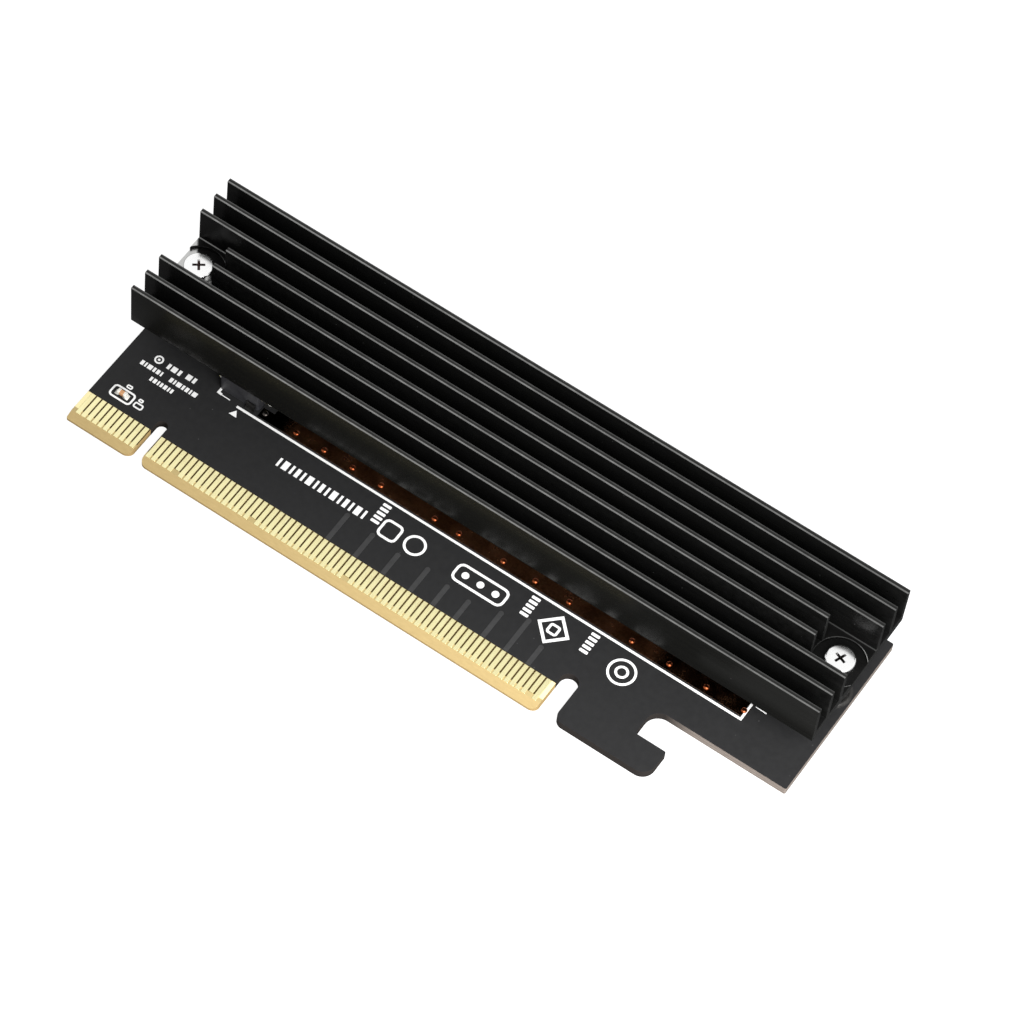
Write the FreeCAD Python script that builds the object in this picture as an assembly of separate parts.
"""NVMe adapter card: an x16 card-edge board that carries one M.2 module under a finned heat sink.

Frame, in millimetres: +X runs along the card edge from the short tab to the hook, +Y from the
card edge to the back of the board, +Z out of the component side. The origin is at the card
edge, on the centre of the key notch, in the plane of the board's underside.
"""
import FreeCAD, Part
import math
import os

V = FreeCAD.Vector

# ---- circuit board ----
board_thickness = 1.57
mask_depth = 0.05            # bare copper lies this deep, level with the solder mask round it
board_length = 122.0
board_depth = 41.0           # card edge to back edge
main_edge_y = 10.8           # lower edge of the board right of the hook
board_corner_radius = 0.3

# ---- card edge (standard x16 edge) ----
key_width = 1.9
key_top_y = 8.0
tab_corner_radius = 1.2
tab_end_radius = 0.3
contact_pitch = 1.0
contact_width = 0.7
contact_top_y = 5.6
bevel_depth = 1.4
bevel_angle = 20.0
first_contact_offset = 1.5   # notch centre to the nearest contact on either side
short_tab_contacts = 11
long_tab_contacts = 71
tab_end_margin = 1.1         # middle of the last contact to the end of either tab
sensing_setback = 0.8        # presence-sensing contacts start this much further in
top_sensing_pins = (17, 31, 48, 81)
bottom_sensing_pins = (1,)

# ---- slot and retention hook right of the long tab ----
slot_width = 3.0
slot_top_y = 8.3
hook_bottom_y = 0.5
hook_heel_radius = 1.4
hook_length = 16.4
hook_toe_radius = 2.2
hook_toe_top_y = 5.6
hook_tip_radius = 0.3
throat_depth = 5.4
throat_top_radius = 2.4
throat_bottom_radius = 0.5

# ---- heat sink extrusion ----
sink_back_overhang = 0.5     # beyond the board's back edge
fin_count = 8
fin_pitch = 3.5
fin_top_width = 0.7
fin_taper = 0.12             # each inner fin face leans out by this much at the root
fin_edge_chamfer = 0.14
fin_root_radius = 0.45
sink_height = 8.5
sink_base_thickness = 1.85
sink_foot_radius = 0.2
sink_gap = 6.5               # board to the underside of the base

# ---- screw pocket at each end of the heat sink ----
pocket_length = 7.3
pocket_fins = 2
spot_radius = 4.15
spot_depth = 0.6
screw_inset = 3.4            # end of the heat sink to the screw

# ---- heat sink screw ----
sink_head_radius = 2.35
sink_head_height = 1.7
sink_head_chamfer = 0.35
sink_screw_radius = 1.2
sink_screw_reach = 4.0       # thread below the underside of the base
sink_hole_clearance = 0.25
thread_clearance = 0.04
drive_width = 0.55
drive_length = 2.6
drive_depth = 0.9

# ---- threaded spacer under each screw ----
spacer_radius = 2.6
spigot_radius = 1.8
spigot_length = 1.35
spigot_clearance = 0.1
land_margin = 0.6            # solder land beyond the foot it carries

# ---- M.2 socket ----
socket_start_x = 2.9
socket_depth = 7.2
socket_width = 22.0
socket_height = 4.2
socket_corner_radius = 0.5
mouth_depth = 5.2
mouth_width = 20.1
mouth_floor_z = 2.5          # underside of the module above the board
module_thickness = 0.8
mouth_clearance = 0.3
mouth_lead_in = 0.4
pin_pitch = 0.5
pin_width = 0.2
pin_rows_offset = 0.25
upper_pin_count = 38
lower_pin_count = 37
pins_before_key_count = 58
key_pin_count = 8            # contacts that the key rib replaces
key_rib_width = 1.1
pin_sheet = 0.15             # thickness of the contact strip
pin_tail_length = 1.1
pin_groove_depth = 0.45
pin_groove_clearance = 0.06
peg_radius = 0.6
peg_length = 1.2
peg_spread = 17.4
peg_clearance = 0.06
hold_down_width = 1.6
hold_down_height = 1.3
hold_down_sheet = 0.25
hold_down_foot = 0.7
hold_down_inset = 1.3        # mouth to the middle of the tab

# ---- module holes and standoff ----
module_lengths = (30.0, 42.0, 60.0)
fitted_length = 80.0
module_hole_radius = 1.6     # plain holes for the standoffs of shorter modules
copper_setback = 0.35        # bare laminate between a plain hole and the bay copper
standoff_radius = 2.2
standoff_spigot_radius = 1.5
module_screw_radius = 0.95
module_screw_reach = 2.2
module_head_radius = 1.75
module_head_height = 1.2
module_head_chamfer = 0.3
module_drive_width = 0.4
module_drive_length = 1.9
module_drive_depth = 0.6

# ---- bare copper of the module bay ----
bay_start_x = 12.4
bay_end_inset = 11.3         # right end of the board to the copper
bay_half_width = 11.7
bay_ear_gap = 0.3            # mouth of the socket to the copper that runs past its tails
bay_ear_width = 1.8
via_radius = 0.45
via_height = 0.12
via_sides = 8
via_inset = 1.05             # long side of the copper to the middle of a via
via_shares = (
    -0.014, 0.053, 0.113, 0.174, 0.235, 0.349, 0.4, 0.494, 0.561, 0.632, 0.762, 0.839, 0.915, 0.992
)

# ---- thermal pad ----
pad_start_x = 13.0
pad_length = 68.0
pad_width = 20.0
pad_thickness = 1.5

# ---- chip capacitors ----
input_cap_size = (1.6, 0.8, 0.8)
input_cap_centre = (-8.1, 8.1)
supply_cap_size = (2.0, 1.25, 1.1)
supply_cap_gap = 1.6         # socket tails to the capacitors
supply_cap_pitch = 4.2
supply_row_length = 12.6     # between the outermost chips
cap_end_length = 0.22        # share of the chip that each end cap covers
cap_end_wall = 0.04

# ---- values that follow from these ----
board_top = board_thickness
contact_run_start = first_contact_offset + (short_tab_contacts - 1) * contact_pitch
contact_run_end = first_contact_offset + (long_tab_contacts - 1) * contact_pitch
tab_start_x = -contact_run_start - tab_end_margin
tab_end_x = contact_run_end + tab_end_margin
board_end_x = tab_start_x + board_length
bay_end_x = board_end_x - bay_end_inset
hook_start_x = tab_end_x + slot_width
hook_toe_x = hook_start_x + hook_length
throat_x = hook_toe_x - throat_depth
sink_bottom = board_top + sink_gap
sink_width = (fin_count - 1) * fin_pitch + fin_top_width
sink_centre_y = board_depth + sink_back_overhang - sink_width / 2
base_top = sink_bottom + sink_base_thickness
fin_top = sink_bottom + sink_height
spot_floor = base_top - spot_depth
screw_xs = {"left": tab_start_x + screw_inset, "right": board_end_x - screw_inset}
mouth_x = socket_start_x + socket_depth
module_start_x = mouth_x - mouth_depth
standoff_x = module_start_x + fitted_length
supply_cap_count = int(round(supply_row_length / supply_cap_pitch)) + 1
OVERCUT = 1.0


def box(low, high):
    """Box between two opposite corners."""
    size = [b - a for a, b in zip(low, high)]
    return Part.makeBox(*size, V(*low))


def cylinder(x, y, low, high, radius):
    """Upright cylinder from height low to height high."""
    return Part.makeCylinder(radius, high - low, V(x, y, low))


def rounded_face(corners, place):
    """Face inside a polygon of (a, b, radius) corners, each rounded by a tangent arc.

    place turns a pair (a, b) into a point of space.
    """
    ends = []
    for i, (a, b, radius) in enumerate(corners):
        before = V(corners[i - 1][0], corners[i - 1][1], 0)
        after = V(corners[(i + 1) % len(corners)][0], corners[(i + 1) % len(corners)][1], 0)
        here = V(a, b, 0)
        to_before = (before - here).normalize()
        to_after = (after - here).normalize()
        half = to_before.getAngle(to_after) / 2
        if radius == 0:
            ends.append((here, None, here))
            continue
        reach = radius / math.tan(half)
        centre = here + (to_before + to_after).normalize() * (radius / math.sin(half))
        middle = centre + (here - centre).normalize() * radius
        ends.append((here + to_before * reach, middle, here + to_after * reach))
    edges = []
    for i, (start, middle, end) in enumerate(ends):
        if middle is not None:
            edges.append(Part.Arc(place(start), place(middle), place(end)).toShape())
        following = ends[(i + 1) % len(ends)][0]
        if (following - end).Length > 1e-6:
            edges.append(Part.LineSegment(place(end), place(following)).toShape())
    return Part.Face(Part.Wire(edges))


def plan(height):
    """Places outline points in a horizontal plane."""
    return lambda p: V(p.x, p.y, height)


def section(x):
    """Places profile points in a plane across the X axis."""
    return lambda p: V(x, p.x, p.y)


def side_view(y):
    """Places profile points in a plane across the Y axis."""
    return lambda p: V(p.x, y, p.y)


def revolved(profile, x, y, base):
    """Turns a (radius, height) polygon about the upright line through (x, y)."""
    face = rounded_face(profile, lambda p: V(x + p.x, y, base + p.y))
    return face.revolve(V(x, y, 0), V(0, 0, 1), 360)


# ---------------------------------------------------------------- circuit board

def board_outline():
    """Corners of the board, from the short tab round the hook and back."""
    half_key = key_width / 2
    return [
        (tab_start_x, 0, tab_end_radius),
        (-half_key, 0, tab_corner_radius),
        (-half_key, key_top_y, half_key),
        (half_key, key_top_y, half_key),
        (half_key, 0, tab_corner_radius),
        (tab_end_x, 0, tab_corner_radius),
        (tab_end_x, slot_top_y, slot_width / 2),
        (hook_start_x, slot_top_y, slot_width / 2),
        (hook_start_x, hook_bottom_y, hook_heel_radius),
        (hook_toe_x, hook_bottom_y, hook_toe_radius),
        (hook_toe_x, hook_toe_top_y, hook_tip_radius),
        (throat_x, hook_toe_top_y, throat_bottom_radius),
        (throat_x, main_edge_y, throat_top_radius),
        (board_end_x, main_edge_y, board_corner_radius),
        (board_end_x, board_depth, board_corner_radius),
        (tab_start_x, board_depth, board_corner_radius),
    ]


def edge_bevels():
    """Wedges that thin the tab towards the card edge on both sides."""
    drop = bevel_depth * math.tan(math.radians(bevel_angle))
    upper = board_top - mask_depth
    lower = mask_depth
    out = -OVERCUT
    slope_out = drop * (bevel_depth + OVERCUT) / bevel_depth
    length = tab_end_x - tab_start_x + OVERCUT + slot_width / 2
    wedges = []
    for surface, way in ((upper, 1), (lower, -1)):
        profile = [
            (bevel_depth, surface, 0),
            (bevel_depth, surface + way * OVERCUT, 0),
            (out, surface + way * OVERCUT, 0),
            (out, surface - way * slope_out, 0),
        ]
        face = rounded_face(profile, section(tab_start_x - OVERCUT))
        wedges.append(face.extrude(V(length, 0, 0)))
    return wedges


def spigot_holes():
    """Middle and radius of the board's holes for the spacers and the module standoff."""
    holes = [(x, spigot_radius + spigot_clearance) for x in screw_xs.values()]
    holes.append((standoff_x, standoff_spigot_radius + spigot_clearance))
    return holes


def module_hole_xs():
    return [module_start_x + length for length in module_lengths]


def bay_area():
    """Mask opening of the module bay, as deep as its copper is thick, with ears beside the tails."""
    low_y = sink_centre_y - bay_half_width
    high_y = sink_centre_y + bay_half_width
    floor = board_top - mask_depth
    area = box((bay_start_x, low_y, floor), (bay_end_x, high_y, board_top))
    ear_x = mouth_x + bay_ear_gap
    lower_ear = box((ear_x, low_y, floor), (bay_start_x, low_y + bay_ear_width, board_top))
    upper_ear = box((ear_x, high_y - bay_ear_width, floor), (bay_start_x, high_y, board_top))
    return area.fuse([lower_ear, upper_ear]).removeSplitter()


def peg_places():
    """Centres of the socket's two locating pegs."""
    x = socket_start_x + socket_depth / 2
    return [(x, sink_centre_y + side * peg_spread / 2) for side in (-1, 1)]


def circuit_board():
    blank = rounded_face(board_outline(), plan(0)).extrude(V(0, 0, board_thickness))
    cuts = edge_bevels()
    tab_low = (tab_start_x - OVERCUT, -OVERCUT)
    tab_high = (tab_end_x + slot_width / 2, contact_top_y)
    cuts.append(box((*tab_low, board_top - mask_depth), (*tab_high, board_top + OVERCUT)))
    cuts.append(box((*tab_low, -OVERCUT), (*tab_high, mask_depth)))
    cuts.append(bay_area())
    for x, radius in spigot_holes():
        cuts.append(cylinder(x, sink_centre_y, -OVERCUT, board_top + OVERCUT, radius))
    for x in screw_xs.values():
        land = spacer_radius + land_margin
        cuts.append(cylinder(x, sink_centre_y, board_top - mask_depth, board_top + OVERCUT, land))
    for x in module_hole_xs():
        cuts.append(cylinder(x, sink_centre_y, -OVERCUT, board_top + OVERCUT, module_hole_radius))
    for x, y in peg_places():
        cuts.append(cylinder(x, y, -OVERCUT, board_top + OVERCUT, peg_radius + peg_clearance))
    return blank.cut(cuts)


def edge_contacts(low, sensing_pins):
    """Gold contacts of one side; low is the height of their lower face."""
    pads = []
    for pin in range(1, short_tab_contacts + long_tab_contacts + 1):
        if pin <= short_tab_contacts:
            x = (pin - 1) * contact_pitch - contact_run_start
        else:
            x = first_contact_offset + (pin - short_tab_contacts - 1) * contact_pitch
        start = bevel_depth + (sensing_setback if pin in sensing_pins else 0)
        left = x - contact_width / 2
        pads.append(box((left, start, low), (left + contact_width, contact_top_y, low + mask_depth)))
    return Part.makeCompound(pads)


def bay_copper():
    """Bare copper of the bay; the standoff is soldered to it and the plain holes pass through it."""
    holes = [(standoff_x, standoff_spigot_radius + spigot_clearance)]
    holes += [(x, module_hole_radius + copper_setback) for x in module_hole_xs()]
    cuts = [cylinder(x, sink_centre_y, 0, board_top + OVERCUT, radius) for x, radius in holes]
    return bay_area().cut(cuts)


def bay_vias():
    """Filled thermal vias: low caps at set shares of the bay's length, along both long sides."""
    caps = []
    turn = 2 * math.pi / via_sides
    for side in (-1, 1):
        y = sink_centre_y + side * (bay_half_width - via_inset)
        for share in via_shares:
            x = bay_start_x + share * (bay_end_x - bay_start_x)
            rim = []
            for i in range(via_sides):
                angle = (i + 0.5) * turn
                rim.append((x + via_radius * math.cos(angle), y + via_radius * math.sin(angle), 0))
            caps.append(rounded_face(rim, plan(board_top)).extrude(V(0, 0, via_height)))
    return Part.makeCompound(caps)


def spacer_lands():
    """Tinned rings that the two spacers are soldered to."""
    rings = []
    for x in screw_xs.values():
        disc = cylinder(x, sink_centre_y, board_top - mask_depth, board_top, spacer_radius + land_margin)
        hole = cylinder(x, sink_centre_y, 0, board_top + OVERCUT, spigot_radius + spigot_clearance)
        rings.append(disc.cut(hole))
    return Part.makeCompound(rings)


# ---------------------------------------------------------------- heat sink

def fin_profile(middle, inner_front, inner_back):
    """Corners of one fin from its back root to its front root.

    A face that stands on the outside of the extrusion runs straight down to the foot.
    """
    half = fin_top_width / 2
    flat = half - fin_edge_chamfer
    top = sink_height
    shoulder = top - fin_edge_chamfer
    root = sink_base_thickness
    back_root = middle + half + (fin_taper if inner_back else 0)
    front_root = middle - half - (fin_taper if inner_front else 0)
    corners = []
    if inner_back:
        corners.append((back_root, root, fin_root_radius))
    corners += [(middle + half, shoulder, 0), (middle + flat, top, 0)]
    corners += [(middle - flat, top, 0), (middle - half, shoulder, 0)]
    if inner_front:
        corners.append((front_root, root, fin_root_radius))
    return corners


def sink_profile():
    """Section of the extrusion: flat foot, base and fins, listed from the back fin forwards."""
    front = sink_centre_y - sink_width / 2
    back = sink_centre_y + sink_width / 2
    corners = [(front, 0, sink_foot_radius), (back, 0, sink_foot_radius)]
    for k in reversed(range(fin_count)):
        middle = front + fin_top_width / 2 + k * fin_pitch
        corners += fin_profile(middle, inner_front=k > 0, inner_back=k < fin_count - 1)
    return [(y, sink_bottom + z, radius) for y, z, radius in corners]


def heat_sink():
    face = rounded_face(sink_profile(), section(tab_start_x))
    blank = face.extrude(V(board_end_x - tab_start_x, 0, 0))
    half_pocket = pocket_fins * fin_pitch / 2
    pocket_spans = {
        "left": (tab_start_x - OVERCUT, tab_start_x + pocket_length),
        "right": (board_end_x - pocket_length, board_end_x + OVERCUT),
    }
    cuts = []
    for side, x in screw_xs.items():
        start, end = pocket_spans[side]
        low = (start, sink_centre_y - half_pocket, base_top)
        high = (end, sink_centre_y + half_pocket, fin_top + OVERCUT)
        cuts.append(box(low, high))
        cuts.append(cylinder(x, sink_centre_y, spot_floor, fin_top + OVERCUT, spot_radius))
        hole = sink_screw_radius + sink_hole_clearance
        cuts.append(cylinder(x, sink_centre_y, sink_bottom - OVERCUT, base_top, hole))
    return blank.cut(cuts)


def thermal_pad():
    low = (pad_start_x, sink_centre_y - pad_width / 2, sink_bottom - pad_thickness)
    high = (pad_start_x + pad_length, sink_centre_y + pad_width / 2, sink_bottom)
    return box(low, high)


# ---------------------------------------------------------------- screws and spacers

def cross_screw(x, seat, head, shank, drive):
    """Pan-head screw with a cross drive, its head resting on the height seat."""
    head_radius, head_height, head_chamfer = head
    shank_radius, shank_length = shank
    drive_w, drive_l, drive_d = drive
    profile = [
        (0, head_height, 0),
        (head_radius - head_chamfer, head_height, 0),
        (head_radius, head_height - head_chamfer, 0),
        (head_radius, 0, 0),
        (shank_radius, 0, 0),
        (shank_radius, -shank_length, 0),
        (0, -shank_length, 0),
    ]
    screw = revolved(profile, x, sink_centre_y, seat)
    floor = seat + head_height - drive_d
    top = seat + head_height + OVERCUT
    wings = []
    for along_x, along_y in ((drive_l, drive_w), (drive_w, drive_l)):
        low = (x - along_x / 2, sink_centre_y - along_y / 2, floor)
        high = (x + along_x / 2, sink_centre_y + along_y / 2, top)
        wings.append(box(low, high))
    return screw.cut(wings)


def sink_screw(x):
    shank_length = spot_floor - sink_bottom + sink_screw_reach
    return cross_screw(
        x,
        spot_floor,
        (sink_head_radius, sink_head_height, sink_head_chamfer),
        (sink_screw_radius, shank_length),
        (drive_width, drive_length, drive_depth),
    )


def soldered_spacer(x, height, radius, spigot, bore):
    """Round threaded spacer standing on the board, with a spigot down into its hole."""
    body = cylinder(x, sink_centre_y, board_top, board_top + height, radius)
    spigot_end = cylinder(x, sink_centre_y, board_top - spigot_length, board_top, spigot)
    hole = cylinder(x, sink_centre_y, 0, board_top + height + OVERCUT, bore)
    return body.fuse(spigot_end).removeSplitter().cut(hole)


def sink_spacer(x):
    return soldered_spacer(x, sink_gap, spacer_radius, spigot_radius, sink_screw_radius + thread_clearance)


def module_standoff():
    bore = module_screw_radius + thread_clearance
    return soldered_spacer(standoff_x, mouth_floor_z, standoff_radius, standoff_spigot_radius, bore)


def module_screw():
    return cross_screw(
        standoff_x,
        board_top + mouth_floor_z,
        (module_head_radius, module_head_height, module_head_chamfer),
        (module_screw_radius, module_screw_reach),
        (module_drive_width, module_drive_length, module_drive_depth),
    )


# ---------------------------------------------------------------- M.2 socket

def pin_y(pin):
    """Middle of one contact; odd pins are the upper row, even pins the lower row."""
    row_start = sink_centre_y + (upper_pin_count - 1) * pin_pitch / 2
    if pin % 2:
        return row_start - (pin - 1) / 2 * pin_pitch
    return row_start - pin_rows_offset - (pin - 2) / 2 * pin_pitch


def row_pins(first):
    """Pin numbers of the row that starts at first, without those that the key replaces."""
    last = 2 * (upper_pin_count if first == 1 else lower_pin_count)
    after_key = pins_before_key_count + key_pin_count
    return [pin for pin in range(first, last + 1, 2) if not pins_before_key_count < pin <= after_key]


def mouth_heights():
    floor = board_top + mouth_floor_z - mouth_clearance / 2
    return floor, floor + module_thickness + mouth_clearance


def socket_housing():
    front_y = sink_centre_y - socket_width / 2
    back_y = sink_centre_y + socket_width / 2
    top = board_top + socket_height
    corners = [
        (socket_start_x, front_y, socket_corner_radius),
        (mouth_x, front_y, socket_corner_radius),
        (mouth_x, back_y, socket_corner_radius),
        (socket_start_x, back_y, socket_corner_radius),
    ]
    body = rounded_face(corners, plan(board_top)).extrude(V(0, 0, socket_height))
    floor, roof = mouth_heights()
    mouth = [
        (mouth_x - mouth_depth, floor, 0),
        (mouth_x - mouth_lead_in, floor, 0),
        (mouth_x + OVERCUT, floor - mouth_lead_in - OVERCUT, 0),
        (mouth_x + OVERCUT, roof + mouth_lead_in + OVERCUT, 0),
        (mouth_x - mouth_lead_in, roof, 0),
        (mouth_x - mouth_depth, roof, 0),
    ]
    low_y = sink_centre_y - mouth_width / 2
    opening = rounded_face(mouth, side_view(low_y)).extrude(V(0, mouth_width, 0))
    rib_y = (pin_y(pins_before_key_count + 1) + pin_y(pins_before_key_count + key_pin_count)) / 2
    rib = box(
        (mouth_x - mouth_depth, rib_y - key_rib_width / 2, floor),
        (mouth_x - mouth_lead_in, rib_y + key_rib_width / 2, roof),
    )
    body = body.cut(opening).fuse(rib).removeSplitter()
    grooves = []
    half = pin_width / 2 + pin_groove_clearance
    for pin in row_pins(1):
        low = (socket_start_x - OVERCUT, pin_y(pin) - half, top - pin_groove_depth)
        high = (mouth_x - mouth_lead_in - pin_groove_depth, pin_y(pin) + half, top + OVERCUT)
        grooves.append(box(low, high))
    body = body.cut(grooves)
    pegs = [cylinder(x, y, board_top - peg_length, board_top, peg_radius) for x, y in peg_places()]
    return body.fuse(pegs)


def upper_contact(y):
    """One spring of the upper row: an arm in its groove that bends down to a solder tail."""
    top = board_top + socket_height - pin_groove_depth + pin_sheet
    heel = socket_start_x - pin_sheet
    profile = [
        (mouth_x - mouth_lead_in - pin_groove_depth, top, 0),
        (heel, top, 0),
        (heel, board_top + pin_sheet, 0),
        (heel - pin_tail_length, board_top + pin_sheet, 0),
        (heel - pin_tail_length, board_top, 0),
        (heel + pin_sheet, board_top, 0),
        (heel + pin_sheet, top - pin_sheet, 0),
        (mouth_x - mouth_lead_in - pin_groove_depth, top - pin_sheet, 0),
    ]
    face = rounded_face(profile, side_view(y - pin_width / 2))
    return face.extrude(V(0, pin_width, 0))


def lower_contact(y):
    """One spring of the lower row: a blade on the mouth floor that ends in a tail outside."""
    floor = mouth_heights()[0]
    face_x = mouth_x + pin_sheet
    profile = [
        (face_x, board_top + pin_sheet, 0),
        (face_x, floor - mouth_lead_in, 0),
        (mouth_x, floor - mouth_lead_in, 0),
        (mouth_x, board_top, 0),
        (face_x + pin_tail_length, board_top, 0),
        (face_x + pin_tail_length, board_top + pin_sheet, 0),
    ]
    face = rounded_face(profile, side_view(y - pin_width / 2))
    return face.extrude(V(0, pin_width, 0))


def socket_contacts_upper():
    return Part.makeCompound([upper_contact(pin_y(pin)) for pin in row_pins(1)])


def socket_contacts_lower():
    return Part.makeCompound([lower_contact(pin_y(pin)) for pin in row_pins(2)])


def socket_solder_tabs():
    """Angle tabs that hold the socket's two ends down on the board."""
    tabs = []
    x = mouth_x - hold_down_inset - hold_down_width / 2
    for side in (-1, 1):
        wall = sink_centre_y + side * socket_width / 2
        profile = [
            (wall, board_top, 0),
            (wall + side * hold_down_foot, board_top, 0),
            (wall + side * hold_down_foot, board_top + hold_down_sheet, 0),
            (wall + side * hold_down_sheet, board_top + hold_down_sheet, 0),
            (wall + side * hold_down_sheet, board_top + hold_down_height, 0),
            (wall, board_top + hold_down_height, 0),
        ]
        tabs.append(rounded_face(profile, section(x)).extrude(V(hold_down_width, 0, 0)))
    return Part.makeCompound(tabs)


# ---------------------------------------------------------------- chip capacitors

def chip_parts(centre, size, along_x):
    """Ceramic body and the two plated end caps that wrap its ends."""
    length, width, height = size
    cap = length * cap_end_length
    wall = cap_end_wall

    def span(start, end, half, low, high):
        cx, cy = centre
        if along_x:
            return box((cx + start, cy - half, low), (cx + end, cy + half, high))
        return box((cx - half, cy + start, low), (cx + half, cy + end, high))

    bottom = board_top + wall
    body = span(-length / 2 + wall, length / 2 - wall, width / 2 - wall, bottom, bottom + height - 2 * wall)
    ends = []
    for start in (-length / 2, length / 2 - cap):
        shell = span(start, start + cap, width / 2, board_top, board_top + height)
        ends.append(shell.cut(body))
    return body, ends


def input_capacitor():
    body, ends = chip_parts(input_cap_centre, input_cap_size, along_x=True)
    return body, Part.makeCompound(ends)


def supply_capacitors():
    """Row of chips behind the socket, between its tails and the end of the board."""
    x = socket_start_x - pin_sheet - pin_tail_length - supply_cap_gap - supply_cap_size[1] / 2
    bodies = []
    caps = []
    for k in range(supply_cap_count):
        y = sink_centre_y + (k - (supply_cap_count - 1) / 2) * supply_cap_pitch
        body, ends = chip_parts((x, y), supply_cap_size, along_x=False)
        bodies.append(body)
        caps += ends
    return Part.makeCompound(bodies), Part.makeCompound(caps)


# ---------------------------------------------------------------- the parts

def all_parts():
    """Every piece of the card, by node name."""
    input_body, input_ends = input_capacitor()
    supply_bodies, supply_ends = supply_capacitors()
    parts = {
        "circuit_board": circuit_board(),
        "edge_contacts_top": edge_contacts(board_top - mask_depth, top_sensing_pins),
        "edge_contacts_bottom": edge_contacts(0, bottom_sensing_pins),
        "bay_copper": bay_copper(),
        "bay_vias": bay_vias(),
        "spacer_lands": spacer_lands(),
        "heat_sink": heat_sink(),
        "thermal_pad": thermal_pad(),
        "module_standoff": module_standoff(),
        "module_screw": module_screw(),
        "socket_housing": socket_housing(),
        "socket_contacts_upper": socket_contacts_upper(),
        "socket_contacts_lower": socket_contacts_lower(),
        "socket_solder_tabs": socket_solder_tabs(),
        "input_capacitor_body": input_body,
        "input_capacitor_terminals": input_ends,
        "supply_capacitor_bodies": supply_bodies,
        "supply_capacitor_terminals": supply_ends,
    }
    for side, x in screw_xs.items():
        parts[f"heat_sink_screw_{side}"] = sink_screw(x)
        parts[f"heat_sink_spacer_{side}"] = sink_spacer(x)
    return parts


os.makedirs("parts", exist_ok=True)
for name, shape in all_parts().items():
    shape.exportStep(f"parts/{name}.step")
    solids = shape.Solids
    print(f"{name}: {len(solids)} solids, valid {shape.isValid()}, {shape.Volume:.2f} mm3")
